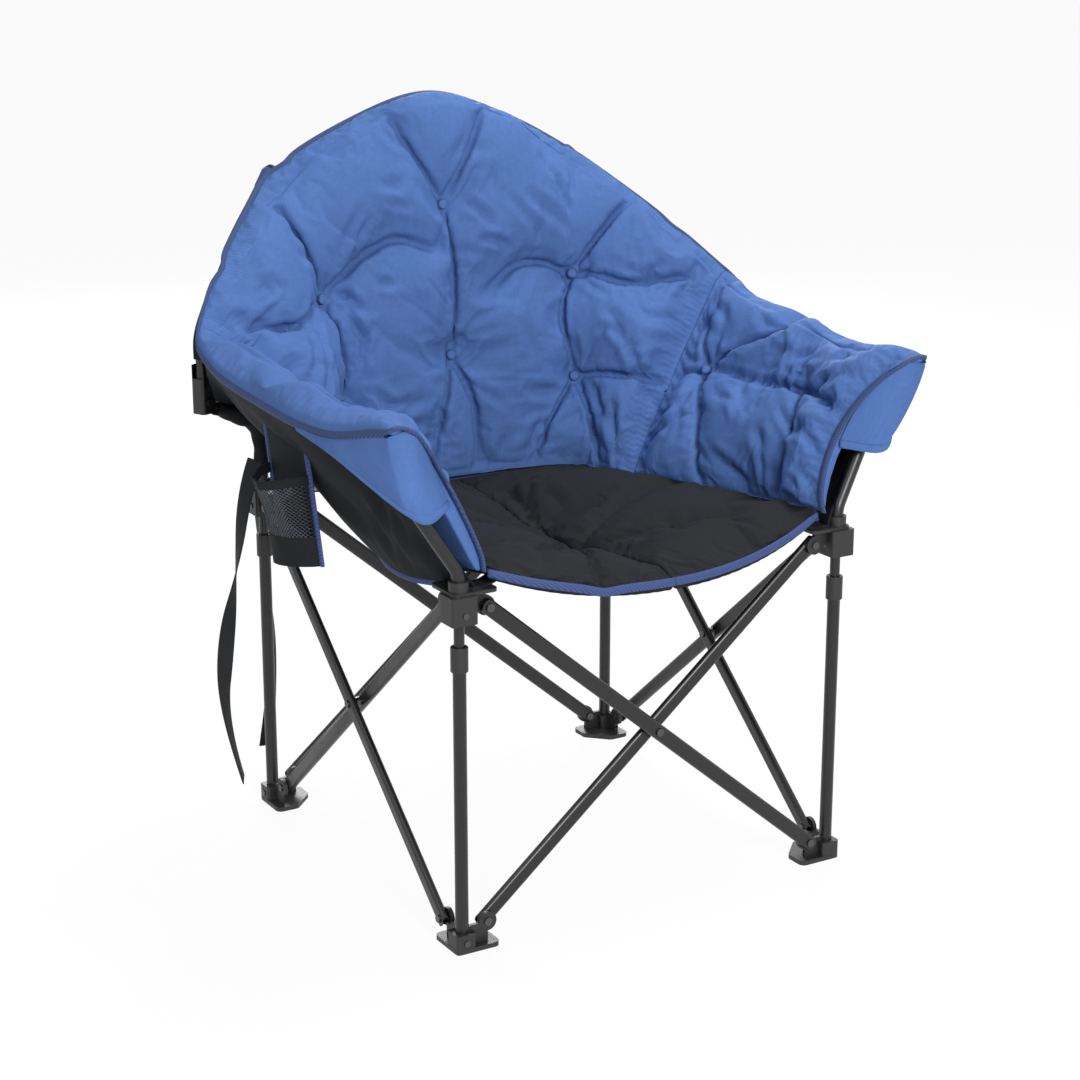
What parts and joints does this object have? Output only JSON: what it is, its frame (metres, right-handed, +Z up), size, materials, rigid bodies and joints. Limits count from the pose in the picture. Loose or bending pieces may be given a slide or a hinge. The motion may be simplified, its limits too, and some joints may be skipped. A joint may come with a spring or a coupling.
{
  "type": "folding camping chair",
  "caption": "Folding camping chair: a padded, button-tufted fabric tub hangs on a square scissor frame with telescoping legs; mesh cup holder under the right arm.",
  "frame": {"origin": "on the floor under the middle of the chair's box, straps left out", "axes": "+Z up, -Y the way the sitter faces, +X to the sitter's left"},
  "size_m": [0.8138, 0.6349, 0.9466],
  "materials": {
    "black_nylon": "moulded nylon with a fine grain",
    "black_coated_steel": "satin black powder coat on steel tube",
    "steel_rivets": "plated steel rivets",
    "blue_polyester": "woven blue polyester over padding",
    "black_polyester": "woven black polyester and webbing",
    "black_mesh": "open black mesh with bound edges"
  },
  "bodies": {
    "front_right_base": {"front_right_foot": "black_nylon", "front_right_lower_leg_tube": "black_coated_steel", "front_right_leg_collar": "black_nylon", "front_right_foot_rivets": "steel_rivets"},
    "front_right_top": {"front_right_hub": "black_nylon", "front_right_upper_leg_tube": "black_coated_steel", "front_right_hub_rivets": "steel_rivets", "right_front_post": "black_coated_steel"},
    "front_left_base": {"front_left_foot": "black_nylon", "front_left_lower_leg_tube": "black_coated_steel", "front_left_leg_collar": "black_nylon", "front_left_foot_rivets": "steel_rivets"},
    "front_left_top": {"front_left_hub": "black_nylon", "front_left_upper_leg_tube": "black_coated_steel", "front_left_hub_rivets": "steel_rivets", "left_front_post": "black_coated_steel"},
    "rear_left_base": {"rear_left_foot": "black_nylon", "rear_left_lower_leg_tube": "black_coated_steel", "rear_left_leg_collar": "black_nylon", "rear_left_foot_rivets": "steel_rivets"},
    "rear_left_top": {"rear_left_hub": "black_nylon", "rear_left_upper_leg_tube": "black_coated_steel", "rear_left_hub_rivets": "steel_rivets", "left_rear_support": "black_coated_steel", "left_back_bracket": "black_coated_steel"},
    "rear_right_base": {"rear_right_foot": "black_nylon", "rear_right_lower_leg_tube": "black_coated_steel", "rear_right_leg_collar": "black_nylon", "rear_right_foot_rivets": "steel_rivets"},
    "rear_right_top": {"rear_right_hub": "black_nylon", "rear_right_upper_leg_tube": "black_coated_steel", "rear_right_hub_rivets": "steel_rivets", "right_rear_support": "black_coated_steel", "right_back_bracket": "black_coated_steel", "back_pad": "blue_polyester", "right_arm_pad": "blue_polyester", "left_arm_pad": "blue_polyester", "outer_shell": "black_polyester", "tuft_buttons": "blue_polyester", "arm_pockets": "blue_polyester", "seat_tabs": "black_polyester", "cup_holder": "black_mesh", "long_strap": "black_polyester", "short_strap": "black_polyester"},
    "front_inner_bar": {"front_inner_bar": "black_coated_steel", "front_middle_rivet": "steel_rivets"},
    "front_outer_bar": {"front_outer_bar": "black_coated_steel"},
    "left_inner_bar": {"left_inner_bar": "black_coated_steel", "left_middle_rivet": "steel_rivets"},
    "left_outer_bar": {"left_outer_bar": "black_coated_steel"},
    "rear_inner_bar": {"rear_inner_bar": "black_coated_steel", "rear_middle_rivet": "steel_rivets"},
    "rear_outer_bar": {"rear_outer_bar": "black_coated_steel"},
    "right_inner_bar": {"right_inner_bar": "black_coated_steel", "right_middle_rivet": "steel_rivets"},
    "right_outer_bar": {"right_outer_bar": "black_coated_steel"},
    "right_back_upright": {"right_back_upright": "black_coated_steel"},
    "right_seat_half": {"right_seat_pad": "black_polyester"},
    "left_back_upright": {"left_back_upright": "black_coated_steel"},
    "left_seat_half": {"left_seat_pad": "black_polyester"}
  },
  "joints": [
    {"name": "fold", "type": "hinge", "parent": "rear_right_base", "child": "right_inner_bar", "pos_m": [-0.27, 0.2284, 0.03], "axis": [-1, 0, 0], "range_deg": [0, 42], "deforming": ["back_pad", "right_arm_pad", "left_arm_pad", "outer_shell", "tuft_buttons", "arm_pockets", "seat_tabs", "cup_holder", "long_strap", "short_strap", "right_seat_pad", "left_seat_pad"]},
    {"name": "right_scissor", "type": "hinge", "parent": "right_inner_bar", "child": "right_outer_bar", "pos_m": [-0.27, -0.0076, 0.229], "axis": [1, 0, 0], "range_deg": [0, 84]},
    {"name": "front_right_hub_side_pivot", "type": "hinge", "parent": "right_inner_bar", "child": "front_right_top", "pos_m": [-0.27, -0.2436, 0.428], "axis": [1, 0, 0], "range_deg": [0, 42]},
    {"name": "rear_right_hub_side_pivot", "type": "hinge", "parent": "right_outer_bar", "child": "rear_right_top", "pos_m": [-0.27, 0.2284, 0.428], "axis": [-1, 0, 0], "range_deg": [0, 42]},
    {"name": "front_right_foot_side_pivot", "type": "hinge", "parent": "right_outer_bar", "child": "front_right_base", "pos_m": [-0.27, -0.2436, 0.03], "axis": [-1, 0, 0], "range_deg": [0, 42]},
    {"name": "rear_right_foot_rear_pivot", "type": "hinge", "parent": "rear_right_base", "child": "rear_outer_bar", "pos_m": [-0.236, 0.2624, 0.03], "axis": [0, -1, 0], "range_deg": [0, 42]},
    {"name": "rear_scissor", "type": "hinge", "parent": "rear_outer_bar", "child": "rear_inner_bar", "pos_m": [0, 0.2624, 0.229], "axis": [0, 1, 0], "range_deg": [0, 84]},
    {"name": "rear_left_hub_rear_pivot", "type": "hinge", "parent": "rear_outer_bar", "child": "rear_left_top", "pos_m": [0.236, 0.2624, 0.428], "axis": [0, 1, 0], "range_deg": [0, 42]},
    {"name": "rear_left_foot_rear_pivot", "type": "hinge", "parent": "rear_inner_bar", "child": "rear_left_base", "pos_m": [0.236, 0.2624, 0.03], "axis": [0, -1, 0], "range_deg": [0, 42]},
    {"name": "front_right_foot_front_pivot", "type": "hinge", "parent": "front_right_base", "child": "front_inner_bar", "pos_m": [-0.236, -0.2776, 0.03], "axis": [0, -1, 0], "range_deg": [0, 42]},
    {"name": "front_scissor", "type": "hinge", "parent": "front_inner_bar", "child": "front_outer_bar", "pos_m": [0, -0.2776, 0.229], "axis": [0, 1, 0], "range_deg": [0, 84]},
    {"name": "front_left_hub_front_pivot", "type": "hinge", "parent": "front_inner_bar", "child": "front_left_top", "pos_m": [0.236, -0.2776, 0.428], "axis": [0, 1, 0], "range_deg": [0, 42]},
    {"name": "front_left_foot_front_pivot", "type": "hinge", "parent": "front_outer_bar", "child": "front_left_base", "pos_m": [0.236, -0.2776, 0.03], "axis": [0, -1, 0], "range_deg": [0, 42]},
    {"name": "rear_left_foot_side_pivot", "type": "hinge", "parent": "rear_left_base", "child": "left_outer_bar", "pos_m": [0.27, 0.2284, 0.03], "axis": [-1, 0, 0], "range_deg": [0, 42]},
    {"name": "left_scissor", "type": "hinge", "parent": "left_outer_bar", "child": "left_inner_bar", "pos_m": [0.27, -0.0076, 0.229], "axis": [1, 0, 0], "range_deg": [0, 84]},
    {"name": "right_back_pivot", "type": "hinge", "parent": "rear_right_top", "child": "right_back_upright", "pos_m": [-0.367, 0.2194, 0.62], "axis": [0.4051, -0.9143, 0], "range_deg": [0, 18]},
    {"name": "right_seat_crease", "type": "hinge", "parent": "rear_right_top", "child": "right_seat_half", "pos_m": [-0.245, 0, 0.45], "axis": [0, 1, 0], "range_deg": [0, 80]},
    {"name": "left_back_pivot", "type": "hinge", "parent": "rear_left_top", "child": "left_back_upright", "pos_m": [0.367, 0.2194, 0.62], "axis": [0.4051, 0.9143, 0], "range_deg": [0, 18]},
    {"name": "left_seat_crease", "type": "hinge", "parent": "rear_left_top", "child": "left_seat_half", "pos_m": [0.245, 0, 0.45], "axis": [0, -1, 0], "range_deg": [0, 80]}
  ],
  "couplings": [
    {"joint": "right_scissor", "follows": "fold", "ratio": 2},
    {"joint": "front_right_hub_side_pivot", "follows": "fold", "ratio": 1},
    {"joint": "rear_right_hub_side_pivot", "follows": "fold", "ratio": 1},
    {"joint": "front_right_foot_side_pivot", "follows": "fold", "ratio": 1},
    {"joint": "rear_right_foot_rear_pivot", "follows": "fold", "ratio": 1},
    {"joint": "rear_scissor", "follows": "fold", "ratio": 2},
    {"joint": "rear_left_hub_rear_pivot", "follows": "fold", "ratio": 1},
    {"joint": "rear_left_foot_rear_pivot", "follows": "fold", "ratio": 1},
    {"joint": "front_right_foot_front_pivot", "follows": "fold", "ratio": 1},
    {"joint": "front_scissor", "follows": "fold", "ratio": 2},
    {"joint": "front_left_hub_front_pivot", "follows": "fold", "ratio": 1},
    {"joint": "front_left_foot_front_pivot", "follows": "fold", "ratio": 1},
    {"joint": "rear_left_foot_side_pivot", "follows": "fold", "ratio": 1},
    {"joint": "left_scissor", "follows": "fold", "ratio": 2},
    {"joint": "right_back_pivot", "follows": "fold", "ratio": 0.42857},
    {"joint": "right_seat_crease", "follows": "fold", "ratio": 1.9048},
    {"joint": "left_back_pivot", "follows": "fold", "ratio": 0.42857},
    {"joint": "left_seat_crease", "follows": "fold", "ratio": 1.9048}
  ]
}
